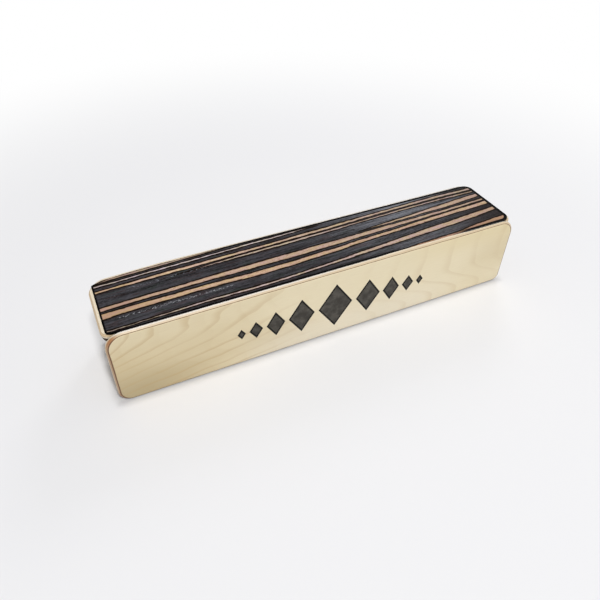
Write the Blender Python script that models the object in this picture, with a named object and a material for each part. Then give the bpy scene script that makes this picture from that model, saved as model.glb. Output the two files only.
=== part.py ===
"""A double shaker: a long glued plywood box with two sealed chambers of loose beads.

+X runs along the box, +Y from its front to its back and +Z up. The origin is under the middle of the box,
on the surface that it lies on. Sizes are in metres.
"""

import math

import bmesh
import bpy

# Overall size of the box
LENGTH = 0.310
DEPTH = 0.060
HEIGHT = 0.059

# Thickness of the boards and sheets
SIDE_BOARD = 0.0028
DECK_BOARD = 0.0030
VENEER = 0.0006
END_PANEL = 0.0060
DIVIDER = 0.0030

# Rounded corners and edges of the boards
SIDE_CORNER = 0.0120
SIDE_ROUND = 0.0024
DECK_CORNER = 0.0060
DECK_ROUND = 0.0028
ROUND_LEAVES = 0.0002

# Seats of the inner boards
GLUE_LINE = 0.0003
END_RECESS = 0.0070
GROOVE_DEPTH = 0.0020

# Loose fill of the two chambers
COARSE_BEAD = 0.0065
COARSE_COUNT = 12
FINE_BEAD = 0.0040
FINE_COUNT = 16
BEAD_PLAY = 0.0003
SCATTER = 0.85
SCATTER_TURN = math.radians(137.5)

# Fineness of the rounded shapes
CORNER_STEPS = 6
ROUND_STEPS = 4
BEAD_SEGMENTS = 12
BEAD_RINGS = 8
SHARP_ANGLE = math.radians(35)
SAME_PLACE = 1e-7

# Sizes that follow from those above
DECK_WIDTH = DEPTH - 2 * (SIDE_BOARD + GLUE_LINE)
FLOOR = VENEER + GLUE_LINE + DECK_BOARD
CEILING = HEIGHT - FLOOR
INNER_HEIGHT = CEILING - FLOOR - 2 * GLUE_LINE
MID_HEIGHT = HEIGHT / 2
CHAMBER_LENGTH = LENGTH - 2 * (END_RECESS + END_PANEL)
CHAMBER_FAR_WALL = DEPTH / 2 - SIDE_BOARD
CHAMBER_NEAR_WALL = DIVIDER / 2
SIDE_EDGE = min(SIDE_ROUND, SIDE_BOARD - ROUND_LEAVES)
DECK_EDGE = min(DECK_ROUND, DECK_BOARD - ROUND_LEAVES)


def clear_scene():
    """Removes every object, so that the script gives the same model each run."""
    for thing in list(bpy.data.objects):
        bpy.data.objects.remove(thing, do_unlink=True)


def new_collection(name):
    """A collection linked to the scene."""
    group = bpy.data.collections.new(name)
    bpy.context.scene.collection.children.link(group)
    return group


def linear(channel):
    """One sRGB channel from 0 to 255 as a linear value."""
    share = channel / 255
    if share <= 0.04045:
        return share / 12.92
    return ((share + 0.055) / 1.055) ** 2.4


def finish(name, colour, roughness, metallic=0.0):
    """A Principled material in an sRGB colour."""
    material = bpy.data.materials.new(name)
    material.use_nodes = True
    shader = material.node_tree.nodes["Principled BSDF"]
    shader.inputs["Base Color"].default_value = [linear(c) for c in colour] + [1.0]
    shader.inputs["Roughness"].default_value = roughness
    shader.inputs["Metallic"].default_value = metallic
    return material


def slab(length, width, thickness, corner=0.0):
    """A flat board about the origin, its four upright corners rounded."""
    shape = bmesh.new()
    bmesh.ops.create_cube(shape, size=1.0)
    bmesh.ops.scale(shape, vec=(length, width, thickness), verts=shape.verts)
    if corner > 0.0:
        upright = [e for e in shape.edges if abs(e.verts[0].co.z - e.verts[1].co.z) > thickness / 2]
        bmesh.ops.bevel(
            shape, geom=upright, offset=corner, segments=CORNER_STEPS, profile=0.5, affect="EDGES"
        )
    return shape


def upper_rim(shape):
    """The edges round the board's upper face."""
    top = max(v.co.z for v in shape.verts)
    return [e for e in shape.edges if all(top - v.co.z < SAME_PLACE for v in e.verts)]


def round_over(shape, edges, radius):
    """Rounds those edges of a board."""
    bmesh.ops.bevel(
        shape, geom=edges, offset=radius, segments=ROUND_STEPS, profile=0.5, affect="EDGES"
    )


def mesh_from(name, shape, smooth=True):
    """Turns a shape into a mesh, smooth but for its sharp edges."""
    mesh = bpy.data.meshes.new(name)
    bmesh.ops.recalc_face_normals(shape, faces=shape.faces)
    shape.to_mesh(mesh)
    shape.free()
    if smooth:
        mesh.shade_smooth()
        mesh.set_sharp_from_angle(angle=SHARP_ANGLE)
    return mesh


def place(name, mesh, group, parent, location, rotation=(0.0, 0.0, 0.0)):
    """An object of that mesh in a collection, under its parent empty."""
    thing = bpy.data.objects.new(name, mesh)
    thing.location = location
    thing.rotation_euler = rotation
    thing.parent = parent
    group.objects.link(thing)
    return thing


def empty(name, group, parent=None, location=(0.0, 0.0, 0.0)):
    """An empty that carries other objects."""
    carrier = place(name, None, group, parent, location)
    carrier.empty_display_size = HEIGHT / 2
    return carrier


def side_mesh(name, material):
    """A front or back board: rounded corners and a rounded rim on its outer face, which is up."""
    shape = slab(LENGTH, HEIGHT, SIDE_BOARD, SIDE_CORNER)
    round_over(shape, upper_rim(shape), SIDE_EDGE)
    mesh = mesh_from(name, shape)
    mesh.materials.append(material)
    return mesh


def deck_mesh(name, material):
    """A top or bottom board: its upper face is rounded at the ends, and square along the side boards."""
    shape = slab(LENGTH, DECK_WIDTH, DECK_BOARD, DECK_CORNER)
    straight = LENGTH / 2 - DECK_CORNER
    ends = [e for e in upper_rim(shape) if sum(abs(v.co.x) for v in e.verts) / 2 > straight]
    round_over(shape, ends, DECK_EDGE)
    mesh = mesh_from(name, shape)
    mesh.materials.append(material)
    return mesh


def veneer_mesh(name, material):
    """A veneer sheet that ends where its deck board starts to round."""
    shape = slab(LENGTH - 2 * DECK_EDGE, DECK_WIDTH, VENEER, DECK_CORNER - DECK_EDGE)
    mesh = mesh_from(name, shape)
    mesh.materials.append(material)
    return mesh


def add_sides(group, casing, birch):
    """The front and the back board, their outer faces outwards."""
    reach = DEPTH / 2 - SIDE_BOARD / 2
    quarter = math.pi / 2
    for name, way in (("front_board", 1), ("back_board", -1)):
        mesh = side_mesh(name, birch)
        place(name, mesh, group, casing, (0.0, -way * reach, MID_HEIGHT), (way * quarter, 0.0, 0.0))


def add_decks(group, casing, core, striped):
    """The top and the bottom board and their veneers, their outer faces outwards."""
    board_reach = MID_HEIGHT - VENEER - GLUE_LINE - DECK_BOARD / 2
    veneer_reach = MID_HEIGHT - VENEER / 2
    for side, way, turn in (("top", 1, 0.0), ("bottom", -1, math.pi)):
        rotation = (turn, 0.0, 0.0)
        board_place = (0.0, 0.0, MID_HEIGHT + way * board_reach)
        veneer_place = (0.0, 0.0, MID_HEIGHT + way * veneer_reach)
        board = deck_mesh(f"{side}_board", core)
        sheet = veneer_mesh(f"{side}_veneer", striped)
        place(f"{side}_board", board, group, casing, board_place, rotation)
        place(f"{side}_veneer", sheet, group, casing, veneer_place, rotation)


def groove_cutter(name, cutters, casing, x):
    """A hidden block that cuts the divider's groove into an end panel."""
    width = DIVIDER + 2 * GLUE_LINE
    shape = slab(2 * GROOVE_DEPTH, width, HEIGHT)
    cutter = place(name, mesh_from(name, shape, smooth=False), cutters, casing, (x, 0.0, MID_HEIGHT))
    cutter.hide_render = True
    cutter.display_type = "WIRE"
    return cutter


def add_ends(group, cutters, casing, core):
    """The two end panels, set in from the ends of the boards and grooved for the divider."""
    middle = LENGTH / 2 - END_RECESS - END_PANEL / 2
    for side, way in (("left", -1), ("right", 1)):
        name = f"{side}_end_panel"
        mesh = mesh_from(name, slab(END_PANEL, DECK_WIDTH, INNER_HEIGHT), smooth=False)
        mesh.materials.append(core)
        panel = place(name, mesh, group, casing, (way * middle, 0.0, MID_HEIGHT))
        cut = panel.modifiers.new("divider groove", "BOOLEAN")
        cut.operation = "DIFFERENCE"
        cut.solver = "EXACT"
        cut.object = groove_cutter(f"{side}_groove", cutters, casing, way * CHAMBER_LENGTH / 2)


def add_divider(group, casing, core):
    """The board between the two chambers, its ends in the grooves of the end panels."""
    length = CHAMBER_LENGTH + 2 * (GROOVE_DEPTH - GLUE_LINE)
    mesh = mesh_from("divider", slab(length, DIVIDER, INNER_HEIGHT), smooth=False)
    mesh.materials.append(core)
    place("divider", mesh, group, casing, (0.0, 0.0, MID_HEIGHT))


def bead_mesh(name, diameter, material):
    """A round bead."""
    shape = bmesh.new()
    bmesh.ops.create_uvsphere(
        shape, u_segments=BEAD_SEGMENTS, v_segments=BEAD_RINGS, radius=diameter / 2
    )
    mesh = mesh_from(name, shape)
    mesh.materials.append(material)
    return mesh


def add_fill(group, casing, name, way, diameter, count, material):
    """One chamber's beads, each in its own lane across the chamber and scattered between the walls.

    A bead slides along Y, so its origin at its centre is on its axis. way is -1 in front of the divider and
    1 behind it.
    """
    mesh = bead_mesh(name, diameter, material)
    reach = diameter / 2 + BEAD_PLAY
    middle = way * (CHAMBER_FAR_WALL + CHAMBER_NEAR_WALL) / 2
    swing = (CHAMBER_FAR_WALL - CHAMBER_NEAR_WALL) / 2 - reach
    lane = CHAMBER_LENGTH / count
    chamber = empty(f"{name}_chamber", group, casing, (0.0, middle, FLOOR))
    for index in range(count):
        along = (index + 0.5) * lane - CHAMBER_LENGTH / 2
        across = SCATTER * swing * math.sin(index * SCATTER_TURN)
        place(f"{name}_{index + 1:02d}", mesh, group, chamber, (along, across, reach))


def main():
    """Builds the shaker."""
    clear_scene()
    group = new_collection("double_shaker")
    cutters = new_collection("cutters")
    birch = finish("birch_ply", (221, 208, 170), 0.45)
    core = finish("pale_ply", (214, 197, 160), 0.55)
    striped = finish("striped_veneer", (52, 47, 46), 0.40)
    coarse = finish("hard_plastic_bead", (196, 182, 150), 0.35)
    fine = finish("steel_bead", (150, 150, 152), 0.30, 1.0)
    casing = empty("casing", group)
    add_sides(group, casing, birch)
    add_decks(group, casing, core, striped)
    add_ends(group, cutters, casing, core)
    add_divider(group, casing, core)
    add_fill(group, casing, "coarse_bead", -1, COARSE_BEAD, COARSE_COUNT, coarse)
    add_fill(group, casing, "fine_bead", 1, FINE_BEAD, FINE_COUNT, fine)


main()
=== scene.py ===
"""Looks of the double shaker: its finishes, finely shaped boards and beads, printed ornament and studio.

Pieces are modelled in metres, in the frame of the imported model: +X along the box, +Y to its back and +Z up.
Finishes reckon in millimetres of the same frame.
"""

import logging
import math
from collections.abc import Callable, Iterator, Sequence
from contextlib import contextmanager
from dataclasses import dataclass
from enum import Enum
from functools import cached_property

import bmesh
import bpy
from mathutils import Matrix, Vector

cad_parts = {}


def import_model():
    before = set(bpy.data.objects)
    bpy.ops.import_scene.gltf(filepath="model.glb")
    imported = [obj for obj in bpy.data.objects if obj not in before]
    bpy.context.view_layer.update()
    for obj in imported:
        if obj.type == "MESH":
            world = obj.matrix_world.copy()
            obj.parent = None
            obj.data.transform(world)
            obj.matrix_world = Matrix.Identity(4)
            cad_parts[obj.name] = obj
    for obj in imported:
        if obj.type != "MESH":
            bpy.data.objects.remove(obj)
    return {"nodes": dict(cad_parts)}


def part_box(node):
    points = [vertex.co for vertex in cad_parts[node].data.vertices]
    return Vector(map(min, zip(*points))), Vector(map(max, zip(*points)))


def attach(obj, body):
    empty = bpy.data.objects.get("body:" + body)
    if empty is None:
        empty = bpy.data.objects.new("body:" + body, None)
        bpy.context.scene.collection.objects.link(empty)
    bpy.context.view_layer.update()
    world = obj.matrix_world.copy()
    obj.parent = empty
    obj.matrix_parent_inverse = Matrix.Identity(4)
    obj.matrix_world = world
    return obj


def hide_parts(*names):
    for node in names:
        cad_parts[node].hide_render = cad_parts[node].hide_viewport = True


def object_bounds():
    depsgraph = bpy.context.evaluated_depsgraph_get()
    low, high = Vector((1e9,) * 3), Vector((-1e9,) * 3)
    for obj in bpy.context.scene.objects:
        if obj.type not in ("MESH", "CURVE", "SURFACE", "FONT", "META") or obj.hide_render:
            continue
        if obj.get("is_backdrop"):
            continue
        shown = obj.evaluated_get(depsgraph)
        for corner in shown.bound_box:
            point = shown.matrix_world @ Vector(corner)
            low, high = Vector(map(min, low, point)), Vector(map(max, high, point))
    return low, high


LOG = logging.getLogger("double_shaker")
MM = 0.001
NEAR = 1e-6
SMOOTH_ANGLE = math.radians(32)

Colour = tuple[int, int, int]
Piece = bpy.types.Object


class Side(Enum):
    """Which way a piece's outer face looks along an axis."""

    LOW = -1
    HIGH = 1

    @property
    def other(self) -> "Side":
        """The opposite way."""
        return Side(-self.value)


class Pick(Enum):
    """What a selection in edit mode holds."""

    VERT = "VERT"
    EDGE = "EDGE"
    FACE = "FACE"

    def parts(self, shape: bmesh.types.BMesh) -> list[tuple]:
        """Lists the parts of a shape that can be selected.

        Args:
            shape: The shape in edit mode.

        Returns:
            Each part, followed by a point's place, an edge's two ends, or a face's centre and normal.
        """
        if self is Pick.VERT:
            return [(point, point.co) for point in shape.verts]
        if self is Pick.EDGE:
            return [(edge, edge.verts[0].co, edge.verts[1].co) for edge in shape.edges]
        return [(face, face.calc_center_median(), face.normal) for face in shape.faces]


def linear(colour: Colour) -> list[float]:
    """Turns an sRGB colour into the linear colour that a socket takes.

    Args:
        colour: Red, green and blue from 0 to 255.

    Returns:
        Linear red, green and blue, and a full alpha.
    """
    shares = [channel / 255 for channel in colour]
    return [s / 12.92 if s <= 0.04045 else ((s + 0.055) / 1.055) ** 2.4 for s in shares] + [1.0]


@dataclass(frozen=True)
class Box:
    """The lowest and the highest corner of a piece."""

    low: Vector
    high: Vector

    @classmethod
    def of_node(cls, node: str) -> "Box":
        """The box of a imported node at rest."""
        return cls(*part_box(node))

    @property
    def size(self) -> Vector:
        """The box's length along each axis."""
        return self.high - self.low

    @property
    def centre(self) -> Vector:
        """The middle of the box."""
        return (self.low + self.high) / 2

    def face(self, axis: int, side: Side) -> float:
        """The place of one of the two faces across an axis."""
        return (self.low if side is Side.LOW else self.high)[axis]


class Bench:
    """Models pieces with Blender's operators, the way it is done by hand."""

    @staticmethod
    def alone(piece: Piece) -> None:
        """Selects one piece and makes it the active one.

        Args:
            piece: The piece to work on.
        """
        bpy.ops.object.select_all(action="DESELECT")
        piece.select_set(True)
        bpy.context.view_layer.objects.active = piece

    @staticmethod
    def named(name: str) -> Piece:
        """Names the object that an operator has just added.

        Args:
            name: The piece's name.

        Returns:
            The piece, with its place and size in its mesh.
        """
        piece = bpy.context.object
        piece.name = name
        piece.data.name = name
        bpy.ops.object.transform_apply(location=True, rotation=True, scale=True)
        return piece

    @classmethod
    def block(cls, name: str, box: Box) -> Piece:
        """Adds a block to shape a board from.

        Args:
            name: The piece's name.
            box: The space that it fills.

        Returns:
            The new piece.
        """
        bpy.ops.object.select_all(action="DESELECT")
        bpy.ops.mesh.primitive_cube_add(size=1.0, location=box.centre)
        bpy.context.object.scale = box.size
        return cls.named(name)

    @classmethod
    @contextmanager
    def editing(cls, piece: Piece) -> Iterator[None]:
        """Holds a piece in edit mode, with all its faces selected at first.

        Args:
            piece: The piece to edit.

        Returns:
            A context that ends in object mode.
        """
        cls.alone(piece)
        bpy.ops.object.mode_set(mode="EDIT")
        bpy.ops.mesh.select_mode(type=Pick.FACE.value)
        bpy.ops.mesh.select_all(action="SELECT")
        yield
        bpy.ops.object.mode_set(mode="OBJECT")

    @staticmethod
    def pick(piece: Piece, kind: Pick, test: Callable[..., bool]) -> None:
        """Selects what passes a test.

        Args:
            piece: The piece in edit mode.
            kind: What is selected.
            test: Says of a point's place, an edge's ends or a face's centre and normal whether to select it.
        """
        bpy.ops.mesh.select_mode(type=kind.value)
        bpy.ops.mesh.select_all(action="DESELECT")
        shape = bmesh.from_edit_mesh(piece.data)
        for part, *places in kind.parts(shape):
            if test(*places):
                part.select_set(True)
        bmesh.update_edit_mesh(piece.data)

    @classmethod
    def round_edges(cls, piece: Piece, test: Callable[..., bool], radius: float, steps: int) -> None:
        """Rounds some of a piece's edges.

        Args:
            piece: The piece to shape.
            test: Says of an edge's two ends whether to round it.
            radius: The round's radius.
            steps: How many faces the round has.
        """
        with cls.editing(piece):
            cls.pick(piece, Pick.EDGE, test)
            bpy.ops.mesh.bevel(offset=radius, segments=steps, profile=0.5, affect="EDGES")

    @classmethod
    def round_rim(cls, piece: Piece, axis: int, place: float, radius: float, steps: int) -> None:
        """Rounds the edges that lie in a plane across an axis.

        Args:
            piece: The piece to shape.
            axis: The axis.
            place: The plane's place along it.
            radius: The round's radius.
            steps: How many faces the round has.
        """
        cls.round_edges(
            piece, lambda a, b: max(abs(a[axis] - place), abs(b[axis] - place)) < NEAR, radius, steps
        )

    @classmethod
    def support_face(cls, piece: Piece, axis: int, place: float, width: float) -> None:
        """Puts a narrow ring of faces inside a flat face, so that it shades flat beside its rounded rim.

        Args:
            piece: The piece to shape.
            axis: The axis that the face lies across.
            place: The face's place along it.
            width: The ring's width.
        """
        with cls.editing(piece):
            cls.pick(piece, Pick.FACE, lambda centre, normal: abs(centre[axis] - place) < NEAR)
            bpy.ops.mesh.inset(thickness=width, depth=0.0)

    @classmethod
    def slice_off(cls, piece: Piece, place: tuple[float, float, float], outward: Vector) -> None:
        """Cuts off what lies outside a plane through a place, and closes the cut."""
        with cls.editing(piece):
            bpy.ops.mesh.bisect(plane_co=place, plane_no=outward, use_fill=True, clear_outer=True)

    @classmethod
    def smooth(cls, piece: Piece) -> None:
        """Shades a piece smooth up to the sharp edges."""
        cls.alone(piece)
        bpy.ops.object.shade_smooth_by_angle(angle=SMOOTH_ANGLE)

    @classmethod
    def twin(cls, piece: Piece, name: str, shift: Vector) -> Piece:
        """Copies a piece with a mesh of its own.

        Args:
            piece: The piece to copy.
            name: The copy's name.
            shift: How far the copy is moved.

        Returns:
            The copy, with its place in its mesh.
        """
        cls.alone(piece)
        bpy.ops.object.duplicate(linked=False)
        bpy.ops.transform.translate(value=shift)
        return cls.named(name)

    @staticmethod
    def settle(piece: Piece, body: str, slot: str, node: str | None = None) -> None:
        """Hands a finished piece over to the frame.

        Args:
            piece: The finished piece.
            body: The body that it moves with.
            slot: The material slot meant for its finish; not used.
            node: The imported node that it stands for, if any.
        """
        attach(piece, body)
        if node is not None:
            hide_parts(node)
        LOG.info("%s rides on %s: %d faces", piece.name, body, len(piece.data.polygons))


@dataclass(frozen=True)
class Wire:
    """The output of a node, which is reckoned with like a number."""

    graph: "Graph"
    socket: bpy.types.NodeSocket

    def __add__(self, other: "Feed") -> "Wire":
        """The sum of two values."""
        return self.graph.math("ADD", self, other)

    def __sub__(self, other: "Feed") -> "Wire":
        """The value less another one."""
        return self.graph.math("SUBTRACT", self, other)

    def __rsub__(self, other: "Feed") -> "Wire":
        """Another value less this one."""
        return self.graph.math("SUBTRACT", other, self)

    def __mul__(self, other: "Feed") -> "Wire":
        """The product of two values."""
        return self.graph.math("MULTIPLY", self, other)

    def __truediv__(self, other: "Feed") -> "Wire":
        """The value divided by another one."""
        return self.graph.math("DIVIDE", self, other)

    def __abs__(self) -> "Wire":
        """The value without its sign."""
        return self.graph.math("ABSOLUTE", self)

    def ease(self, start: float, end: float, low: float = 0.0, high: float = 1.0) -> "Wire":
        """Maps the value smoothly from one range to another.

        Args:
            start: The value that gives low.
            end: The value that gives high.
            low: The result before start.
            high: The result after end.

        Returns:
            The mapped value.
        """
        feeds = dict(enumerate((self, start, end, low, high)))
        return self.graph.add("MapRange", feeds, interpolation_type="SMOOTHSTEP")


Feed = Wire | Colour | list[float] | float


class Graph:
    """The node graph of a material or of the world, read from a piece's own coordinates."""

    def __init__(self, owner: bpy.types.Material | bpy.types.World, shader: str = "Principled BSDF") -> None:
        """Starts the graph.

        Args:
            owner: What the graph belongs to.
            shader: The name of its shader node.
        """
        owner.use_nodes = True
        self.owner = owner
        self.tree = owner.node_tree
        self.shader = self.tree.nodes[shader]

    def feed(self, socket: bpy.types.NodeSocket, value: Feed) -> None:
        """Links an input to a wire, or sets its value.

        Args:
            socket: The input to fill.
            value: A wire, a number, a list of numbers, or a tuple for an sRGB colour.
        """
        if isinstance(value, Wire):
            self.tree.links.new(value.socket, socket)
        else:
            socket.default_value = linear(value) if isinstance(value, tuple) else value

    def set(self, **values: Feed) -> None:
        """Fills the shader's sockets, with _ for a space in their names."""
        for name, value in values.items():
            self.feed(self.shader.inputs[name.replace("_", " ")], value)

    def add(self, kind: str, feeds: dict[int | str, Feed], output: int | str = 0, **settings: object) -> Wire:
        """Adds a node.

        Args:
            kind: The node's type, without the ShaderNode that it starts with.
            feeds: Values by the name or the number of an input.
            output: The output to use.
            settings: The node's own settings.

        Returns:
            The output.
        """
        node = self.tree.nodes.new(f"ShaderNode{kind}")
        for name, setting in settings.items():
            setattr(node, name, setting)
        for key, value in feeds.items():
            self.feed(node.inputs[key], value)
        return Wire(self, node.outputs[output])

    @cached_property
    def place(self) -> Wire:
        """The place on the piece, in metres."""
        return self.add("TexCoord", {}, "Object")

    @cached_property
    def axes(self) -> tuple[Wire, Wire, Wire]:
        """The place along X, Y and Z, in millimetres."""
        outputs = self.add("SeparateXYZ", {0: self.place}).socket.node.outputs
        return tuple(Wire(self, output) / MM for output in outputs)

    @cached_property
    def toward(self) -> Wire:
        """The place along the box, the other way round on its front half."""
        x, y, _ = self.axes
        return x * self.math("SIGN", y)

    def math(self, operation: str, *values: Feed, clamp: bool = False) -> Wire:
        """Reckons with a Math node, from 0 to 1 if its result is clamped."""
        return self.add("Math", dict(enumerate(values)), operation=operation, use_clamp=clamp)

    def grain(
        self,
        size: tuple[float, float, float],
        shift: float,
        detail: float = 2.0,
        roughness: float = 0.5,
        warp: float = 0.0,
        tilt: float = 0.0,
    ) -> Wire:
        """Adds noise whose marks have a given length along each axis.

        Args:
            size: The marks' length along X, Y and Z.
            shift: Moves the noise by so many marks, so that two of them differ.
            detail: How many finer layers the noise has.
            roughness: How strong the finer layers are.
            warp: How far the noise is bent by itself.
            tilt: How far the marks are turned about Z.

        Returns:
            The noise from 0 to 1.
        """
        scale = [length * MM for length in size]
        start = [shift * length for length in scale]
        turn = [0.0, 0.0, tilt]
        feeds = {"Vector": self.place, "Location": start, "Rotation": turn, "Scale": scale}
        place = self.add("Mapping", feeds, vector_type="TEXTURE")
        feeds = {"Vector": place, "Scale": 1.0, "Detail": detail, "Roughness": roughness, "Distortion": warp}
        return self.add("TexNoise", feeds, "Fac")

    def mix(self, colour: Feed, *layers: tuple[Feed, Feed], blend: str = "MIX") -> Wire:
        """Lays colours over another one.

        Args:
            colour: The lowest colour.
            layers: How much of each layer shows, and its colour.
            blend: The way of mixing.

        Returns:
            The mixed colour.
        """
        for share, tone in layers:
            feeds = {0: share, 6: colour, 7: tone}
            colour = self.add("Mix", feeds, 2, data_type="RGBA", blend_type=blend)
        return colour

    def ramp(self, value: Feed, stops: Sequence[tuple[float, Colour]]) -> Wire:
        """Maps a value to colours.

        Args:
            value: The value, from 0 to 1.
            stops: Places from 0 to 1, each with its colour.

        Returns:
            The colour.
        """
        colour = self.add("ValToRGB", {0: value})
        elements = colour.socket.node.color_ramp.elements
        while len(elements) < len(stops):
            elements.new(1.0)
        for element, (place, tone) in zip(elements, stops):
            element.position = place
            element.color = linear(tone)
        return colour

    def curve(self, value: Feed, points: Sequence[tuple[float, float]]) -> Wire:
        """Maps a value along a smooth curve.

        Args:
            value: The value, from 0 to 1.
            points: The points that the curve passes through, both from 0 to 1.

        Returns:
            The mapped value.
        """
        mapped = self.add("FloatCurve", {"Value": value})
        mapping = mapped.socket.node.mapping
        line = mapping.curves[0]
        line.points[0].location = points[0]
        line.points[1].location = points[-1]
        for point in points[1:-1]:
            line.points.new(*point)
        mapping.update()
        return mapped

    def bump(self, height: Wire, depth: float) -> None:
        """Roughens the surface with a relief from 0 to 1 that is so many millimetres deep."""
        self.set(Normal=self.add("Bump", {"Strength": 1.0, "Distance": depth * MM, "Height": height}))


class Finish:
    """A surface, painted into the graph of a material and put on pieces."""

    name: str

    def paint(self, graph: Graph) -> None:
        """Fills the graph of the finish's material."""
        raise NotImplementedError

    def coat(self, pieces: Sequence[Piece]) -> None:
        """Makes the finish's material and puts it on pieces.

        Args:
            pieces: The pieces that share the material.
        """
        graph = Graph(bpy.data.materials.new(self.name))
        self.paint(graph)
        for piece in pieces:
            piece.data.materials.append(graph.owner)


@dataclass(frozen=True)
class BirchFinish(Finish):
    """Lacquered birch plywood: a rotary cut face, and the plies where the rounded rim cuts through them."""

    half_depth: float
    mid_height: float
    half_length: float
    name: str = "birch_ply"
    light: Colour = (235, 222, 189)
    warm: Colour = (213, 195, 154)
    gold: Colour = (230, 213, 168)
    # Painted shade of the lower face towards one end
    shade: Colour = (184, 166, 126)
    # Painted light bounced up from the floor onto the lower face
    bounce_light: Colour = (236, 228, 212)
    ring: Colour = (190, 158, 106)
    glue: Colour = (104, 66, 34)
    core: Colour = (196, 172, 138)
    core_pale: Colour = (212, 194, 164)
    burn: Colour = (158, 100, 50)
    # The inner ply's pale tone, whitened in part as a painted highlight on the rim
    back_ply_and_highlight: Colour = (220, 211, 200)
    # Painted shade along the bottom edge, where the board meets the floor
    foot_shade: Colour = (112, 98, 74)
    # Painted shade on the inner face, where it shows in the recess at the ends
    recess_shade: Colour = (92, 74, 56)
    dark_inner_edge: Colour = (12, 9, 8)
    face_ply: float = 0.22
    glue_line: float = 0.17
    core_ply: float = 0.95
    board: float = 2.8
    soft: float = 0.03
    core_soft: float = 0.3
    waver: float = 0.12
    inner_dark_reach: float = 0.14
    end_wear: float = 0.17
    end_glue: float = 0.10
    corner_core: float = 0.55
    palest: float = 50.0
    palest_fade: float = 0.85
    flame_spread: float = 14.8
    flame_ring: float = 6.5
    wave_ring: float = 24.0
    figure_share: float = 0.38

    @staticmethod
    def late_wood(turns: Wire) -> Wire:
        """Draws a ring for each whole turn: it darkens slowly and ends in a sharp line."""
        share = turns.graph.math("FRACT", turns)
        return share.ease(0.62, 0.93) * share.ease(1.0, 0.95)

    def figure(self, graph: Graph) -> Wire:
        """Draws the growth rings of a rotary cut sheet.

        Args:
            graph: The material's graph.

        Returns:
            How strongly a place is marked by a ring.
        """
        along = graph.toward * -1.0
        z = graph.axes[2]
        # Nested flames at one end
        down = z - 2 * self.mid_height
        past = (along + self.half_length) * self.flame_spread
        away = graph.math("SQRT", down * down + past)
        sway = graph.grain((55, 60, 22), 3.1, detail=2.5)
        flame = self.late_wood(sway * 1.3 + away / self.flame_ring) * along.ease(10, -85)
        # Slow upright waves at the other end
        bow = graph.grain((120, 60, 38), 5.6, detail=1.5, roughness=0.4)
        lag = z.ease(self.mid_height, 0.2 * self.mid_height, 0.0, 1.3)
        wave = self.late_wood(bow * 1.6 + along / self.wave_ring - lag) * along.ease(10, 90, 0.15, 0.5)
        patchy = graph.grain((60, 60, 24), 8.7).ease(0.32, 0.62, 0.3, 1.0)
        return (flame + wave) * patchy

    def face(self, graph: Graph, fibre: Wire) -> Wire:
        """Colours the flat face, with painted light and shade over the wood's own tones.

        Args:
            graph: The material's graph.
            fibre: The fine relief of the wood.

        Returns:
            The face's colour.
        """
        toward = graph.toward
        z = graph.axes[2]
        fade = self.palest_fade / (self.half_length + self.palest)
        pale = graph.grain((140, 60, 40), 1.3) - abs(toward + self.palest) * fade
        low = z.ease(1.2 * self.mid_height, 0.2 * self.mid_height)
        high = z.ease(1.2 * self.mid_height, 1.9 * self.mid_height)
        return graph.mix(
            self.warm,
            # Paler near the middle and darker towards the ends: the wood's own tone, with painted light and
            # shade over it
            (pale.ease(-0.35, 0.25), self.light),
            # Painted shade: the lower face darker towards the left end of the front board, mirrored on the
            # back board
            (low * toward.ease(70, 145, 0.0, 0.9), self.shade),
            # Painted light: the lower face paler and greyer away from the shaded end, as if lit from the
            # floor
            (low * toward.ease(90, 30, 0.0, 0.45) * toward.ease(-130, -60), self.bounce_light),
            # Painted light: the upper face paler left of the middle of the front board, mirrored on the back
            # board
            (high * toward.ease(10, 80, 0.0, 0.55), self.light),
            (high * toward.ease(-30, -110, 0.0, 0.6), self.gold),
            (self.figure(graph) * self.figure_share, self.ring),
            (fibre.ease(0.35, 0.75, 0.0, 0.10), self.ring),
        )

    def rim(self, graph: Graph, depth: Wire) -> Wire:
        """Colours the plies that the rounded rim cuts through, with painted shade along the bottom edge and
        on the inner face.

        Args:
            graph: The material's graph.
            depth: How deep a place lies under the flat face.

        Returns:
            The rim's colour.
        """
        x, y, z = graph.axes
        toward = graph.toward
        up = abs(z - self.mid_height)
        at_end = toward.ease(self.half_length - 10, self.half_length - 4)
        corner = at_end * up.ease(self.mid_height - 11, self.mid_height - 4)
        streak = graph.grain((2.5, 0.25, 2.5), 6.6, detail=3.0)
        burnt = ((at_end * 0.5, self.burn), (corner * 0.8, self.burn))
        core = graph.mix(self.core, (streak, self.core_pale), *burnt)
        yellowed = graph.math("MAXIMUM", at_end, toward.ease(40, -60, 0.0, 0.8))
        # Inner ply: its own pale tone, whitened in part as a painted highlight on the rim
        back_ply_and_highlight = graph.mix(self.back_ply_and_highlight, (yellowed, self.core_pale))
        # Where one ply ends and the next one starts
        below = self.face_ply + self.glue_line
        last = below + self.core_ply
        in_core = (depth - at_end * self.end_glue).ease(below - self.soft, below + self.soft)
        behind_core = depth - corner * self.corner_core
        in_back = behind_core.ease(last - self.core_soft, last + self.core_soft)
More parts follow.
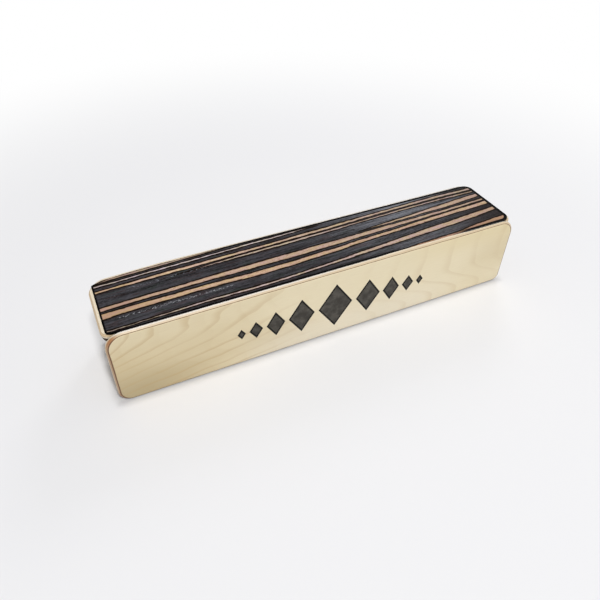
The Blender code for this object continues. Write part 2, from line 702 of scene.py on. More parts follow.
        # Darker stretches of the inner edges, where the board meets the decks
        front_edge_dark = x.ease(45, 35, 0.0, 0.45) + x.ease(95, 115, 0.0, 0.9)
        more_behind = x.ease(-95, -60, 0.0, 0.3) - front_edge_dark
        edge_dark = graph.math("GREATER_THAN", y, 0.0) * more_behind + front_edge_dark
        on_edge = up.ease(self.mid_height - 1.2, self.mid_height - 0.5)
        inner = depth.ease(self.board - self.inner_dark_reach, self.board - 0.08)
        return graph.mix(
            self.glue,
            (in_core, core),
            (in_back, back_ply_and_highlight),
            # Painted shade: the rim darker towards the bottom edge, where the board meets the floor
            (z.ease(2.8, 1.2, 0.0, 0.8), self.foot_shade),
            ((depth + edge_dark).ease(self.board - self.inner_dark_reach, self.board) * on_edge, self.dark_inner_edge),
            # Painted shade: the inner face dark, where it shows in the shaded recess at the ends
            (inner * (1.0 - on_edge), self.recess_shade),
        )

    def paint(self, graph: Graph) -> None:
        """Fills the graph with the face and the rim.

        Args:
            graph: The material's graph.
        """
        x, y, _ = graph.axes
        fibre = graph.grain((9, 2, 0.35), 5.2, detail=4.0, roughness=0.6)
        uneven = graph.grain((14, 14, 14), 2.4)
        worn = abs(x).ease(self.half_length - 12, self.half_length - 3, 0.0, self.end_wear)
        depth = uneven * self.waver + (self.half_depth - self.waver / 2) + worn - abs(y)
        cut = depth.ease(self.face_ply - self.soft, self.face_ply + self.soft)
        graph.set(
            Base_Color=graph.mix(self.face(graph, fibre), (cut, self.rim(graph, depth))),
            Roughness=uneven.ease(0.2, 0.8, 0.36, 0.48),
            Coat_Weight=0.10,
            Coat_Roughness=0.30,
        )
        graph.bump(fibre, 0.02)


@dataclass(frozen=True)
class DeckFinish(Finish):
    """Plywood of the top and the bottom board, with the plies showing round their rounded ends."""

    mid_height: float
    half_height: float
    name: str = "deck_ply"
    cream: Colour = (232, 219, 194)
    tan: Colour = (212, 188, 150)
    glue: Colour = (150, 116, 78)
    # Painted shade on the inner face, where it shows in the recess at the ends
    recess_shade: Colour = (92, 74, 56)
    board: float = 3.0
    waver: float = 0.14

    def paint(self, graph: Graph) -> None:
        """Fills the graph with the plies.

        Args:
            graph: The material's graph.
        """
        uneven = graph.grain((12, 12, 12), 4.4)
        outside = uneven * self.waver + (self.half_height - self.waver / 2)
        depth = outside - abs(graph.axes[2] - self.mid_height)
        stops = (
            (0.00, self.cream),
            (0.20, self.cream),
            (0.24, self.glue),
            (0.29, self.tan),
            (0.62, self.tan),
            (0.66, self.glue),
            (0.71, self.cream),
            (0.97, self.cream),
            # Painted shade: the inner face dark, where it shows in the recess at the ends
            (1.00, self.recess_shade),
        )
        plies = graph.ramp(graph.math("DIVIDE", depth, self.board, clamp=True), stops)
        streak = graph.grain((2.0, 2.0, 0.2), 7.7, detail=3.0)
        graph.set(
            Base_Color=graph.mix(plies, (streak.ease(0.3, 0.8, 0.0, 0.22), self.glue)),
            Roughness=uneven.ease(0.2, 0.8, 0.42, 0.56),
        )
        graph.bump(streak, 0.03)


@dataclass(frozen=True)
class Corners:
    """The radii of a hand sanded board's four corners, in millimetres.

    Left and right are along X, low and high along the board's width: Y of a deck, Z of a side board.
    """

    left_low: float
    right_low: float
    left_high: float
    right_high: float
    left_high_stretch: float = 1.0

    def cut(self, piece: Piece, box: Box, width: int, steps: int) -> None:
        """Rounds the corners of a board.

        Args:
            piece: The board, still a block.
            box: The board's box.
            width: The axis of the board's width, 1 or 2.
            steps: How many faces each round has.
        """
        through = 3 - width
        radii = (
            (Side.LOW, Side.LOW, self.left_low),
            (Side.HIGH, Side.LOW, self.right_low),
            (Side.LOW, Side.HIGH, self.left_high),
            (Side.HIGH, Side.HIGH, self.right_high),
        )
        for end, edge, radius in radii:
            Bench.round_edges(
                piece,
                lambda a, b: abs(a[through] - b[through]) > box.size[through] / 2
                and abs(a.x - box.face(0, end)) < NEAR
                and (a[width] - box.centre[width]) * edge.value > 0,
                radius * MM,
                steps,
            )
        if self.left_high_stretch > 1.0:
            reach = self.left_high * MM + NEAR
            inner = (box.low.x + reach, box.high[width] - reach)
            with Bench.editing(piece):
                Bench.pick(piece, Pick.VERT, lambda p: p.x < inner[0] and p[width] > inner[1])
                bpy.ops.transform.resize(value=(self.left_high_stretch, 1.0, 1.0), center_override=box.low)

    def rim(self, graph: Graph, half_length: float, half_width: float) -> Wire:
        """Measures how far a place lies inside a deck's outline with these corners.

        Args:
            graph: The material's graph.
            half_length: The outline's half length.
            half_width: The outline's half width.

        Returns:
            The distance to the outline, below zero inside it.
        """
        x, y, _ = graph.axes
        right = graph.math("GREATER_THAN", x, 0.0)
        high = graph.math("GREATER_THAN", y, 0.0)
        low_radius = right * (self.right_low - self.left_low) + self.left_low
        high_radius = right * (self.right_high - self.left_high) + self.left_high
        radius = high * (high_radius - low_radius) + low_radius
        stretch = (1.0 - right) * high * (self.left_high_stretch - 1.0) + 1.0
        # How far the place lies past the corner's middle, as if the corner weren't stretched
        side = graph.math("MAXIMUM", abs(y) - (half_width - radius), NEAR / MM)
        end = graph.math("MAXIMUM", (abs(x) - (half_length - radius * stretch)) / stretch, 0.0)
        reach = graph.math("SQRT", side * side + end * end)
        slope = graph.math("SQRT", side * side + end * end / (stretch * stretch))
        return (reach - radius) * reach / slope


@dataclass(frozen=True)
class Stripe:
    """A light stripe of the veneer, followed from the left to the right.

    Attributes:
        track: Places along the box, across it and the stripe's width there, in millimetres from the middle.
        tone: The stripe's colour at the left.
        end_tone: Its colour at the right.
        share: How much of the stripe is light, the rest is broken by dark fibres.
    """

    track: tuple[tuple[float, float, float], ...]
    tone: Colour
    end_tone: Colour
    share: float = 1.0


STRIPES = (
    Stripe(
        ((-150, 23.4, 1.6), (-140, 24.6, 1.9), (-115, 25.7, 2.0), (-90, 26.5, 1.8), (-60, 27.0, 0.0)),
        (170, 158, 148), (128, 114, 106),
    ),
    Stripe(
        ((-152, 19.8, 1.2), (-105, 21.4, 1.5), (-60, 22.8, 1.4), (-15, 24.1, 1.3), (6, 24.5, 0.0)),
        (222, 220, 224), (214, 208, 208),
    ),
    Stripe(
        ((-152, 14.0, 1.8), (-120, 15.0, 2.4), (-90, 15.8, 2.8), (-30, 17.2, 2.3), (15, 18.7, 2.4),
         (60, 20.5, 2.2), (105, 21.7, 2.6), (152, 21.5, 2.4)),
        (222, 198, 172), (176, 164, 156),
    ),
    Stripe(
        ((-90, 11.4, 0.0), (-60, 12.7, 1.4), (0, 14.1, 2.0), (45, 16.0, 1.6), (90, 17.3, 1.8),
         (152, 17.6, 1.6)),
        (220, 208, 200), (160, 148, 142),
    ),
    Stripe(
        ((-152, -3.8, 3.0), (-105, -2.3, 3.1), (-60, -1.2, 4.2), (-25, -0.8, 4.8), (15, -0.1, 4.4),
         (60, 1.2, 3.6), (105, 2.5, 2.6), (152, 4.4, 1.9)),
        (200, 175, 158), (178, 162, 148),
    ),
    Stripe(
        ((-152, -10.4, 5.2), (-125, -9.5, 4.1), (-75, -9.2, 3.7), (-45, -9.8, 4.0), (0, -8.2, 3.8),
         (35, -6.1, 3.0), (75, -3.9, 3.0), (120, -1.8, 3.8), (152, -0.6, 3.8)),
        (204, 178, 152), (192, 170, 150),
    ),
    Stripe(
        ((-152, -24.6, 1.0), (-120, -23.6, 0.9), (-105, -23.0, 1.4), (-80, -22.6, 1.4), (-50, -22.8, 1.7),
         (-10, -21.0, 1.8), (30, -18.3, 2.7), (75, -15.4, 4.2), (105, -13.4, 4.8), (152, -9.6, 2.8)),
        (214, 207, 205), (180, 157, 140),
    ),
    Stripe(
        ((44, 5.0, 0.0), (62, 6.0, 1.6), (90, 7.3, 2.6), (125, 9.5, 4.2), (152, 11.4, 3.0)),
        (214, 200, 188), (180, 160, 146),
    ),
    Stripe(
        ((48, -27.8, 0.0), (66, -27.3, 1.3), (90, -26.7, 1.8), (105, -26.2, 2.2), (125, -24.2, 3.4),
         (152, -22.5, 3.6)),
        (188, 140, 112), (172, 144, 122),
    ),
    Stripe(
        ((-144, -15.4, 0.0), (-125, -14.9, 2.2), (-90, -14.7, 2.4), (-66, -14.6, 0.0)),
        (168, 168, 174), (160, 160, 166), 0.42,
    ),
    Stripe(
        ((-136, 10.0, 0.0), (-105, 10.6, 2.2), (-84, 10.9, 1.6), (-66, 11.4, 0.0)),
        (130, 132, 142), (126, 128, 136), 0.36,
    ),
)


@dataclass(frozen=True)
class VeneerFinish(Finish):
    """Dark striped veneer under satin lacquer, with open pores and a black edge."""

    half_length: float
    half_width: float
    corners: Corners
    name: str = "striped_veneer"
    stripes: tuple[Stripe, ...] = STRIPES
    black: Colour = (19, 16, 16)
    charcoal: Colour = (71, 70, 75)
    greenish: Colour = (56, 64, 60)
    reddish: Colour = (70, 56, 56)
    # Grey of the wood, paler where it carries a painted sheen
    grey_wood_and_sheen: Colour = (132, 134, 142)
    umber: Colour = (44, 36, 36)
    border: Colour = (17, 8, 1)
    fleck: Colour = (150, 152, 160)
    rust: Colour = (138, 100, 72)
    pinkish: Colour = (252, 240, 250)
    yellowish: Colour = (255, 252, 228)
    edge: Colour = (0, 0, 0)
    widest: float = 8.0
    soft: float = 0.30
    border_share: float = 0.97
    border_width: float = 1.0
    border_fade: float = 0.8
    edge_band: float = 1.2
    edge_widens: float = 1.2
    sway: float = 1.3
    fray: float = 1.5
    gloss: float = 0.016
    lean: float = math.radians(1.8)

    def streaks(
        self, graph: Graph, size: tuple[float, float, float], shift: float, detail: float, roughness: float
    ) -> Wire:
        """Adds noise that is drawn out along the leaning grain."""
        return graph.grain(size, shift, detail, roughness, tilt=self.lean)

    def inside(self, graph: Graph, stripe: Stripe, along: Wire, across: Wire) -> Wire:
        """Measures how far a place lies inside a stripe.

        Args:
            graph: The material's graph.
            stripe: The stripe.
            along: The place along the sheet, from 0 to 1.
            across: The place across the sheet, with the stripes' waver taken off.

        Returns:
            The distance to the stripe's edge, below zero outside it.
        """
        middles, widths = [], []
        for place, middle, width in stripe.track:
            share = min(1.0, max(0.0, place / (2 * self.half_length) + 0.5))
            middles.append((share, middle / (2 * self.half_width) + 0.5))
            widths.append((share, width / self.widest))
        line = graph.curve(along, middles) * (2 * self.half_width) - self.half_width
        half = graph.curve(along, widths) * (self.widest / 2) - self.soft
        return half - abs(across - line)

    def dark_wood(self, graph: Graph, fleck: Wire) -> Wire:
        """Colours the dark wood between the stripes, streaked along the grain, with a painted sheen.

        Args:
            graph: The material's graph.
            fleck: The fine dashes of the wood.

        Returns:
            The dark wood's colour.
        """
        x, y, _ = graph.axes
        broad = self.streaks(graph, (110, 3.4, 20), 2.2, 2.0, 0.5)
        fine = self.streaks(graph, (22, 1.0, 20), 4.7, 3.0, 0.65)
        speck = self.streaks(graph, (2.2, 0.9, 3), 8.3, 2.0, 0.7)
        streaked = broad * 0.30 + fine * 0.45 + speck * 0.25
        cast = self.streaks(graph, (16, 2.0, 20), 15.2, 1.0, 0.5)
        # Painted sheen: a paler blue grey patch right of the middle, stronger towards the back, over the
        # wood's grey
        grey_wood_and_sheen = x.ease(-10, 80) * x.ease(148, 110) * y.ease(-14, 10, 0.30, 0.68)
        umber = x.ease(85, 135) * y.ease(12, -6, 0.15, 0.8)
        grey = graph.mix(
            self.charcoal,
            (cast.ease(0.56, 0.68, 0.0, 0.7), self.greenish),
            (cast.ease(0.44, 0.32, 0.0, 0.7), self.reddish),
            (grey_wood_and_sheen, self.grey_wood_and_sheen),
            (umber, self.umber),
        )
        patch = graph.grain((60, 5, 60), 6.1).ease(0.48, 0.66, 0.08, 0.5)
        flecked = fleck.ease(0.60, 0.72) * patch
        return graph.mix(self.black, (streaked.ease(0.36, 0.62), grey), (flecked, self.fleck))

    def worn(self, graph: Graph) -> Wire:
        """Gives how far the stripes have browned: in streaks, in specks, and at the left end.

        Args:
            graph: The material's graph.

        Returns:
            The share of brown, from 0 to 1.
        """
        x, y, _ = graph.axes
        streak = self.streaks(graph, (14, 0.7, 30), 17.0, 2.0, 0.6).ease(0.52, 0.36, 0.0, 0.55)
        speckle = self.streaks(graph, (2.2, 0.8, 6), 19.0, 2.0, 0.7).ease(0.50, 0.34, 0.0, 0.65)
        left = x.ease(-95, -150, 0.0, 0.45) * y.ease(-16, -12)
        return graph.math("MAXIMUM", graph.math("MAXIMUM", streak, speckle), left)

    def striped(self, graph: Graph, along: Wire, fleck: Wire) -> Wire:
        """Lays the stripes and their dark borders over the dark wood.

        Args:
            graph: The material's graph.
            along: The place along the sheet, from 0 to 1.
            fleck: The fine dashes of the wood.

        Returns:
            The sheet's colour inside its black edge.
        """
        sway = self.streaks(graph, (20, 9, 50), 1.7, 2.0, 0.5) * self.sway
        fray = self.streaks(graph, (4.5, 1.2, 5), 9.1, 2.0, 0.6) * self.fray
        across = graph.axes[1] + sway + fray - (self.sway + self.fray) / 2
        tint = self.streaks(graph, (11, 1.6, 30), 13.0, 2.0, 0.6)
        cast = graph.mix(self.pinkish, (tint.ease(0.38, 0.62), self.yellowish))
        worn = self.worn(graph)
        bordered: Feed = 0.0
        layers = []
        for stripe in self.stripes:
            inside = self.inside(graph, stripe, along, across)
            mask = inside.ease(-self.soft, self.soft)
            tone = graph.mix(stripe.tone, (along, stripe.end_tone))
            if stripe.share < 1.0:
                broken = fleck.ease(0.66 - 0.3 * stripe.share, 0.74 - 0.3 * stripe.share)
                layers.append((mask * broken, tone))
                continue
            near = inside.ease(-self.border_width - self.border_fade, -self.border_width)
            bordered = graph.math("MAXIMUM", bordered, near)
            tone = graph.mix(tone, (1.0, cast), blend="MULTIPLY")
            brown = graph.math("MAXIMUM", inside.ease(0.5, -0.1, 0.0, 0.5), worn)
            layers.append((mask, graph.mix(tone, (brown, self.rust))))
        border = (bordered * self.border_share, self.border)
        return graph.mix(self.dark_wood(graph, fleck), border, *layers)

    def paint(self, graph: Graph) -> None:
        """Fills the graph with the stripes and the black edge.

        Args:
            graph: The material's graph.
        """
        x, y, _ = graph.axes
        along = x * (0.5 / self.half_length) + 0.5
        fleck = self.streaks(graph, (1.7, 0.6, 6), 11.0, 3.0, 0.75)
        rim = self.corners.rim(graph, self.half_length, self.half_width) + along * along * self.edge_widens
        band = rim.ease(-self.edge_band - self.soft, -self.edge_band + self.soft)
        bare_back = x.ease(-50, -70) * x.ease(-146, -136) * y.ease(15, 20)
        bare_front = x.ease(45, 60) * x.ease(115, 95) * y.ease(-15, -20)
        black = band * (1.0 - (bare_back + bare_front))
        graph.set(
            Base_Color=graph.mix(self.striped(graph, along, fleck), (black, self.edge)),
            Roughness=fleck.ease(0.3, 0.7, 0.38, 0.50),
            Specular_IOR_Level=self.gloss,
        )
        graph.bump(fleck, 0.05)


@dataclass(frozen=True)
class PanelFinish(Finish):
    """Bare pale plywood of the boards inside and of the set in ends."""

    name: str
    pale: Colour = (222, 205, 168)
    dark: Colour = (190, 160, 112)
    ring_turns: float = 36.0

    def paint(self, graph: Graph) -> None:
        """Fills the graph with rings and fibres.

        Args:
            graph: The material's graph.
        """
        broad = graph.grain((40, 60, 12), 2.9, detail=1.5, warp=0.3)
        rings = graph.math("SINE", broad * self.ring_turns).ease(0.1, 1.0, 0.0, 0.26)
        fibre = graph.grain((0.3, 7, 0.3), 4.8, detail=4.0, roughness=0.6)
        share = graph.math("ADD", rings, fibre.ease(0.35, 0.8, 0.0, 0.35), clamp=True)
        graph.set(
            Base_Color=graph.mix(self.pale, (share, self.dark)),
            Roughness=fibre.ease(0.3, 0.7, 0.52, 0.66),
        )
        graph.bump(fibre, 0.05)


@dataclass(frozen=True)
class BeadFinish(Finish):
    """Surface of the loose beads, dulled by knocking about."""

    name: str
    clean: Colour
    dusty: Colour
    metallic: float
    shine: float

    def paint(self, graph: Graph) -> None:
        """Fills the graph with dust and scuffs.

        Args:
            graph: The material's graph.
        """
        cloud = graph.grain((1.6, 1.6, 1.6), 1.1, detail=3.0)
        scuff = graph.grain((0.3, 0.3, 0.3), 5.3, detail=3.0, roughness=0.7)
        graph.set(
            Base_Color=graph.mix(self.clean, (cloud.ease(0.35, 0.7), self.dusty)),
            Metallic=self.metallic,
            Roughness=scuff.ease(0.3, 0.7, self.shine, self.shine + 0.2),
        )
        graph.bump(scuff, 0.02)


@dataclass(frozen=True)
class InkFinish(Finish):
    """Dark printing ink, a little uneven."""

    name: str
    full: Colour
    thin: Colour
    gloss: float = 0.2

    def paint(self, graph: Graph) -> None:
        """Fills the graph with thick and thin ink.

        Args:
            graph: The material's graph.
        """
        cloud = graph.grain((5, 5, 5), 3.3, detail=3.0)
        fibre = graph.grain((6, 2, 0.3), 7.2, detail=3.0)
        share = cloud.ease(0.3, 0.7) * fibre.ease(0.3, 0.7, 0.5, 1.0)
        graph.set(
            Base_Color=graph.mix(self.full, (share, self.thin)),
            Roughness=cloud.ease(0.3, 0.7, 0.50, 0.62),
            Specular_IOR_Level=self.gloss,
        )
        graph.bump(fibre, 0.01)


@dataclass
class SideBoards:
    """The birch front and back board."""

    body: str
    corners: Corners = Corners(9.0, 6.0, 12.0, 12.0)
    planed: float = 1.8 * MM
    planed_length: float = 50.0 * MM
    round: float = 2.4 * MM
    broken_edge: float = 0.25 * MM
    corner_steps: int = 14
    round_steps: int = 10
    broken_steps: int = 2
    support: float = 0.08 * MM

    def build(self, name: str, node: str, faces: Side) -> Piece:
        """Models one board: rounded corners, a rounded rim on its outer face, a broken edge on the inner one.

        Args:
            name: The piece's name.
            node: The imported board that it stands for.
            faces: Which way its outer face looks along Y.

        Returns:
            The board.
        """
        box = Box.of_node(node)
        outer = box.face(1, faces)
        board = Bench.block(name, box)
        if faces is Side.HIGH:
            # The back board's upper edge is planed down a little at its left end
            start = (box.low.x + self.planed_length, 0.0, box.high.z)
            Bench.slice_off(board, start, Vector((-self.planed, 0.0, self.planed_length)).normalized())
        self.corners.cut(board, box, 2, self.corner_steps)
        Bench.round_rim(board, 1, outer, self.round, self.round_steps)
        Bench.round_rim(board, 1, box.face(1, faces.other), self.broken_edge, self.broken_steps)
        Bench.support_face(board, 1, outer, self.support)
        Bench.smooth(board)
        Bench.settle(board, self.body, "birch_face", node)
        return board

    def dress(self, finish: BirchFinish) -> None:
        """Builds both boards in their finish.

        Args:
            finish: The boards' finish.
        """
        front = self.build("birch_front", "front_board", Side.LOW)
        back = self.build("birch_back", "back_board", Side.HIGH)
        finish.coat((front, back))


@dataclass
class Decks:
    """The top and the bottom board, each with its veneer."""

    body: str
    corners: Corners = Corners(6.0, 7.0, 10.0, 10.0)
    round: float = 2.8 * MM
    veneer_corners: Corners = Corners(3.6, 7.0, 5.2, 6.5, 8.6)
    veneer_round: float = 0.25 * MM
    veneer_support: float = 0.05 * MM
    corner_steps: int = 14
    round_steps: int = 10
    veneer_steps: int = 3
    lift: float = 0.25 * MM
    spread: float = 0.22 * MM
    longer: float = 0.4 * MM

    def build_board(self, name: str, node: str, faces: Side) -> Piece:
        """Models one board: rounded corners, and rounded ends on its outer face.

        Args:
            name: The piece's name.
            node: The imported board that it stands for.
            faces: Which way its outer face looks along Z.

        Returns:
            The board.
        """
        box = Box.of_node(node)
        rise = Vector((0.0, 0.0, self.lift))
        box = Box(box.low, box.high + rise) if faces is Side.HIGH else Box(box.low - rise, box.high)
        outer = box.face(2, faces)
        board = Bench.block(name, box)
        self.corners.cut(board, box, 1, self.corner_steps)
        Bench.round_edges(
            board,
            lambda a, b: max(abs(a.z - outer), abs(b.z - outer)) < NEAR and abs(a.x + b.x) > box.high.x,
            self.round,
            self.round_steps,
        )
        Bench.smooth(board)
        Bench.settle(board, self.body, "pale_ply", node)
        return board

    def build_veneer(self, name: str, node: str, faces: Side) -> Piece:
        """Models one veneer sheet, its rim softened on the outer face.

        Args:
            name: The piece's name.
            node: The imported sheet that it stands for.
            faces: Which way its outer face looks along Z.

        Returns:
            The sheet.
        """
        box = Box.of_node(node)
        wider = Vector((0.0, self.spread, 0.0))
        longer = Vector((self.longer, 0.0, 0.0))
        box = Box(box.low - wider, box.high + wider + longer)
        outer = box.face(2, faces)
        sheet = Bench.block(name, box)
        self.veneer_corners.cut(sheet, box, 1, self.corner_steps)
        Bench.round_rim(sheet, 2, outer, self.veneer_round, self.veneer_steps)
        Bench.support_face(sheet, 2, outer, self.veneer_support)
        Bench.smooth(sheet)
        Bench.settle(sheet, self.body, "striped_veneer", node)
        return sheet

    def dress(self, ply: DeckFinish, striped: VeneerFinish) -> None:
        """Builds both boards and both sheets in their finishes.

        Args:
            ply: The boards' finish.
            striped: The sheets' finish.
        """
        boards, sheets = [], []
        for place, faces in (("top", Side.HIGH), ("bottom", Side.LOW)):
            boards.append(self.build_board(f"ply_{place}", f"{place}_board", faces))
            sheets.append(self.build_veneer(f"veneer_{place}_sheet", f"{place}_veneer", faces))
        ply.coat(boards)
        striped.coat(sheets)


@dataclass
class InnerBoards:
    """The two set in end panels and the divider that sits in their grooves."""

    body: str
    groove_depth: float = 2.0 * MM
    groove_play: float = 0.3 * MM
    broken_edge: float = 0.3 * MM
    panel_steps: int = 3
    divider_steps: int = 2

    def build_end(self, name: str, node: str, faces: Side) -> Piece:
        """Models one end panel with its groove for the divider.

        Args:
            name: The piece's name.
            node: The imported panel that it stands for.
            faces: Which way its outer face looks along X.

        Returns:
            The panel.
        """
        box = Box.of_node(node)
        inner = box.face(0, faces.other)
        panel = Bench.block(name, box)
        Bench.round_rim(panel, 0, box.face(0, faces), self.broken_edge, self.panel_steps)
        half_groove = Box.of_node("divider").high.y + self.groove_play
        with Bench.editing(panel):
            for edge in (-half_groove, half_groove):
                bpy.ops.mesh.select_all(action="SELECT")
                bpy.ops.mesh.bisect(plane_co=(0.0, edge, 0.0), plane_no=(0.0, 1.0, 0.0))
            Bench.pick(panel, Pick.FACE, lambda c, n: abs(c.x - inner) < NEAR and abs(c.y) < half_groove)
            sink = (faces.value * self.groove_depth, 0.0, 0.0)
            bpy.ops.mesh.extrude_region_move(TRANSFORM_OT_translate={"value": sink})
            bpy.ops.mesh.select_all(action="SELECT")
            bpy.ops.mesh.normals_make_consistent(inside=False)
        Bench.smooth(panel)
        Bench.settle(panel, self.body, "pale_ply", node)
        return panel

    def build_divider(self, name: str, node: str) -> Piece:
        """Models the divider, with broken edges.

        Args:
            name: The piece's name.
            node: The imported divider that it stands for.

        Returns:
            The divider.
        """
        board = Bench.block(name, Box.of_node(node))
        Bench.round_edges(board, lambda a, b: True, self.broken_edge, self.divider_steps)
        Bench.smooth(board)
        Bench.settle(board, self.body, "pale_ply", node)
        return board

    def dress(self, finish: PanelFinish) -> None:
        """Builds the panels and the divider in their finish.

        Args:
            finish: The boards' finish.
        """
        left = self.build_end("left_end_ply", "left_end_panel", Side.LOW)
        right = self.build_end("right_end_ply", "right_end_panel", Side.HIGH)
        finish.coat((left, right, self.build_divider("divider_ply", "divider")))


@dataclass
class Fill:
    """The loose beads of one chamber, each on a body of its own."""

    node_prefix: str
    piece_prefix: str
    slot: str
    finish: BeadFinish
    rings: int = 18

    def ball(self, radius: float) -> Piece:
        """Adds a ball at the origin to shape a bead from.

        Args:
            radius: The ball's radius.

        Returns:
            The new piece.
        """
        bpy.ops.object.select_all(action="DESELECT")
        bpy.ops.mesh.primitive_uv_sphere_add(segments=2 * self.rings, ring_count=self.rings, radius=radius)
        return Bench.named(f"{self.piece_prefix}pattern")

    def model(self, radius: float) -> Piece:
        """Models one bead at the origin."""
        raise NotImplementedError

    def dress(self, nodes: Sequence[str]) -> None:
        """Builds the chamber's beads in their finish.

        Args:
            nodes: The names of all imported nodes.
        """
        mine = sorted(node for node in nodes if node.startswith(self.node_prefix))
        pattern = self.model(Box.of_node(mine[0]).size.z / 2)
        Bench.smooth(pattern)
        self.finish.coat((pattern,))
        for node in mine:
            name = self.piece_prefix + node.removeprefix(self.node_prefix)
            bead = Bench.twin(pattern, name, Box.of_node(node).centre)
            Bench.settle(bead, node, self.slot, node)
        bpy.data.objects.remove(pattern)


@dataclass
class MouldedFill(Fill):
    """Plastic beads with the seam and the gate mark of their mould."""

    seam: float = 0.05 * MM
    seam_width: float = 0.18 * MM
    seam_steps: int = 2
    gate: float = 0.10 * MM

    def model(self, radius: float) -> Piece:
        """Models one moulded bead at the origin.

        Args:
            radius: The bead's radius over its seam.

        Returns:
            The bead.
        """
        body = radius - self.seam
        widen = radius / body
        gate_height = body * math.cos(1.2 * math.pi / self.rings)
        bead = self.ball(body)
        Bench.round_rim(bead, 2, 0.0, self.seam_width / 2, self.seam_steps)
        with Bench.editing(bead):
            Bench.pick(bead, Pick.EDGE, lambda a, b: max(abs(a.z), abs(b.z)) < NEAR)
            bpy.ops.transform.resize(value=(widen, widen, 1.0))
            Bench.pick(bead, Pick.FACE, lambda centre, normal: centre.z > gate_height)
            bpy.ops.mesh.inset(thickness=self.gate, depth=-self.gate)
        return bead


@dataclass
class ShotFill(Fill):
    """Steel shot, meant to have the two small flats of its making.

    Each flat is thinner than the cut's default tolerance of 0.1 mm, so it isn't cut, and the fill doubles
    the faces there.
    """

    rings: int = 16
    flat: float = 0.975
    flat_round: float = 0.03
    flat_steps: int = 2

    def model(self, radius: float) -> Piece:
        """Models one shot at the origin.

        Args:
            radius: The shot's radius.

        Returns:
            The shot.
        """
        shot = self.ball(radius)
        cut = radius * self.flat
        for way in (-1.0, 1.0):
            Bench.slice_off(shot, (way * cut, 0.0, 0.0), Vector((way, 0.0, 0.0)))
        round_off = radius * self.flat_round
        Bench.round_edges(shot, lambda a, b: min(abs(a.x), abs(b.x)) > cut - NEAR, round_off, self.flat_steps)
        return shot


@dataclass
class Ornament:
    """A row of printed lozenges on the front board, growing towards the middle.

    Attributes:
        lozenges: How far a pair of lozenges is from the middle, their width and their height, in millimetres.
    """

    body: str
    middle_x: float = 1.5 * MM
    middle_z: float = 28.0 * MM
    lozenges: tuple[tuple[float, float, float], ...] = (
        (0.0, 27.0, 39.0),
        (26.5, 20.0, 30.0),
        (46.0, 14.0, 22.0),
        (60.5, 10.0, 15.0),
        (71.0, 6.0, 9.0),
    )
    film: float = 0.02 * MM
    outline: float = 1.30 * MM

    def build_lozenge(self, name: str, x: float, width: float, height: float) -> Piece:
        """Models one printed lozenge as a thin film on the board.

        Args:
            name: The piece's name.
            x: The middle of the lozenge along X.
            width: Its width.
            height: Its height.

        Returns:
            The lozenge.
        """
        face = Box.of_node("front_board").low.y
        bpy.ops.object.select_all(action="DESELECT")
        bpy.ops.mesh.primitive_circle_add(
            vertices=4,
            radius=0.5,
            fill_type="NGON",
            location=(x, face + self.film, self.middle_z),
            rotation=(math.pi / 2, 0.0, 0.0),
        )
        bpy.context.object.scale = (width, height, 1.0)
        lozenge = Bench.named(name)
        with Bench.editing(lozenge):
            bpy.ops.mesh.extrude_region_move(TRANSFORM_OT_translate={"value": (0.0, -2 * self.film, 0.0)})
            bpy.ops.mesh.inset(thickness=self.outline, depth=0.0)
            bpy.ops.mesh.select_all(action="SELECT")
            bpy.ops.mesh.normals_make_consistent(inside=False)
        return lozenge

    def dress(self, full: InkFinish, outline: InkFinish) -> None:
        """Builds the row in its two inks.

        Args:
            full: The ink inside the shapes.
            outline: The ink along their edges.
        """
        shapes = []
        for index, (away, width, height) in enumerate(self.lozenges):
            for way in (1,) if away == 0.0 else (-1, 1):
                x = self.middle_x + way * away * MM
                shape = self.build_lozenge(f"lozenge_{index}_{way}", x, width * MM, height * MM)
                shapes.append((shape, x))
        pieces = [shape for shape, _ in shapes]
        full.coat(pieces)
        outline.coat(pieces)
        for shape, x in shapes:
            for polygon in shape.data.polygons:
                inner = polygon.normal.y < -0.5 and abs(polygon.center.x - x) < NEAR
                polygon.material_index = 0 if inner else 1
        Bench.alone(pieces[0])
        for shape in pieces:
            shape.select_set(True)
        bpy.ops.object.join()
        Bench.settle(Bench.named("front_print"), self.body, "birch_face")


@dataclass(frozen=True)
class Lamp:
    """A soft lamp that looks at the middle of the floor."""

    name: str
    place: tuple[float, float, float]
    size: float
    power: float

    def hang(self) -> None:
        """Hangs the lamp in the scene."""
        bpy.ops.object.light_add(type="AREA", location=self.place)
        lamp = bpy.context.object
        lamp.name = self.name
        lamp.data.shape = "DISK"
        lamp.data.size = self.size
        lamp.data.energy = self.power
        lamp.rotation_euler = Vector(self.place).to_track_quat("Z", "Y").to_euler()


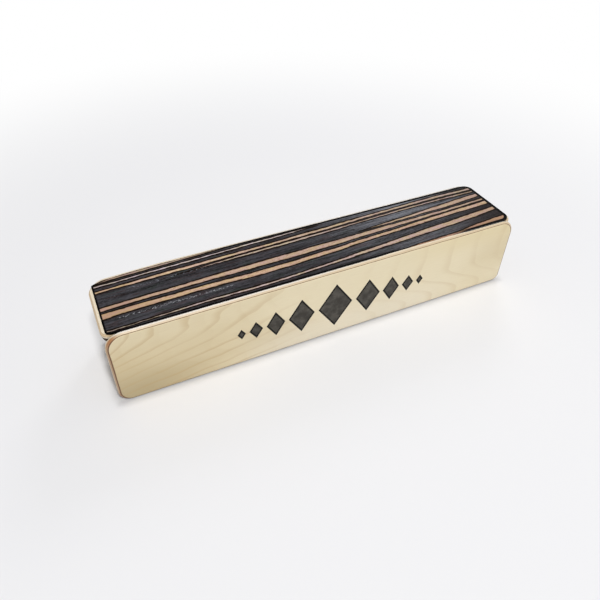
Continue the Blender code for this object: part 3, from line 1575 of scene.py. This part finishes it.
@dataclass
class Studio:
    """The floor, the light and the camera.

    Attributes:
        floor_near: How far from the middle the floor starts to turn white, in millimetres.
        floor_far: Where it is white, in millimetres.
    """

    camera_place: tuple[float, float, float] = (-150.4 * MM, -288.3 * MM, 298.1 * MM)
    azimuth: float = math.radians(-25.61)
    elevation: float = math.radians(41.65)
    roll: float = math.radians(0.85)
    lens: float = 33.99
    clip_start: float = 0.01
    floor_size: float = 12.0
    floor_tone: Colour = (229, 229, 231)
    floor_near: float = 240.0
    floor_far: float = 620.0
    white: Colour = (255, 255, 255)
    fill: float = 0.36
    lamps: tuple[Lamp, ...] = (
        Lamp("ceiling_lamp", (0.0, 0.10, 2.60), 0.30, 19.0),
        Lamp("front_lamp", (0.0, -1.55, 2.20), 0.30, 34.5),
        Lamp("sheen_lamp", (0.87, 1.01, 0.85), 0.55, 3.5),
    )

    def lay_floor(self) -> None:
        """Lays a pale floor that turns white away from the object."""
        bpy.ops.object.select_all(action="DESELECT")
        bpy.ops.mesh.primitive_plane_add(size=self.floor_size)
        floor = Bench.named("studio_floor")
        graph = Graph(bpy.data.materials.new("pale_floor"))
        graph.set(Base_Color=self.floor_tone, Roughness=0.9)
        x, y, _ = graph.axes
        far = graph.math("SQRT", x * x + y * y).ease(self.floor_near, self.floor_far)
        seen = far * graph.add("LightPath", {}, "Is Camera Ray")
        shaders = {1: Wire(graph, graph.shader.outputs[0]), 2: graph.add("Emission", {})}
        blend = graph.add("MixShader", {0: seen} | shaders)
        graph.feed(graph.tree.nodes["Material Output"].inputs["Surface"], blend)
        floor.data.materials.append(graph.owner)
        floor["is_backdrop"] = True

    def light_world(self) -> None:
        """Lights the scene evenly, with a white background for the camera and for reflections."""
        world = bpy.data.worlds.new("studio")
        bpy.context.scene.world = world
        graph = Graph(world, "Background")
        seen = graph.add("LightPath", {}, "Is Camera Ray")
        rays = seen.socket.node.outputs
        for name in ("Is Glossy Ray", "Is Transmission Ray"):
            seen = graph.math("MAXIMUM", seen, Wire(graph, rays[name]))
        graph.set(Color=self.white, Strength=seen * (1.0 - self.fill) + self.fill)

    def set_camera(self) -> None:
        """Sets the camera where the photograph was taken."""
        sin_a, cos_a = math.sin(self.azimuth), math.cos(self.azimuth)
        sin_e, cos_e = math.sin(self.elevation), math.cos(self.elevation)
        back = Vector((sin_a * cos_e, -cos_a * cos_e, sin_e))
        right = Vector((cos_a, sin_a, 0.0))
        turn = Matrix((right, back.cross(right), back)).transposed().to_4x4()
        bpy.ops.object.camera_add()
        camera = bpy.context.object
        camera.name = "photo_camera"
        camera.matrix_world = (
            Matrix.Translation(self.camera_place) @ turn @ Matrix.Rotation(self.roll, 4, "Z")
        )
        camera.data.lens = self.lens
        camera.data.clip_start = self.clip_start
        bpy.context.scene.camera = camera

    def set_up(self) -> None:
        """Sets the floor, the light and the camera up."""
        self.lay_floor()
        self.light_world()
        for lamp in self.lamps:
            lamp.hang()
        self.set_camera()
        bpy.context.scene.view_settings.view_transform = "Standard"


def main() -> None:
    """Builds and dresses the shaker and sets up its studio."""
    logging.basicConfig(level=logging.INFO, format="%(message)s")
    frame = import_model()
    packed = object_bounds()
    casing = "casing"
    whole = Box(*packed)
    mid_height = whole.centre.z
    Studio().set_up()
    SideBoards(casing).dress(BirchFinish(whole.high.y / MM, mid_height / MM, whole.high.x / MM))
    veneer = Box.of_node("top_veneer")
    decks = Decks(casing)
    deck_top = Box.of_node("top_board").high.z + decks.lift
    decks.dress(
        DeckFinish(mid_height / MM, (deck_top - mid_height) / MM),
        VeneerFinish(veneer.high.x / MM, (veneer.high.y + decks.spread) / MM, decks.veneer_corners),
    )
    InnerBoards(casing).dress(PanelFinish("bare_ply"))
    nodes = list(frame["nodes"])
    plastic = BeadFinish("hard_plastic", (200, 186, 154), (176, 160, 126), 0.0, 0.28)
    steel = BeadFinish("steel_shot", (176, 176, 178), (128, 126, 124), 1.0, 0.22)
    MouldedFill("coarse_bead_", "moulded_bead_", "plastic_bead", plastic).dress(nodes)
    ShotFill("fine_bead_", "steel_shot_", "steel_bead", steel).dress(nodes)
    Ornament(casing).dress(
        InkFinish("print_ink", (54, 51, 46), (92, 88, 82)),
        InkFinish("print_edge", (8, 6, 4), (16, 13, 10)),
    )


if __name__ == "__main__":
    main()
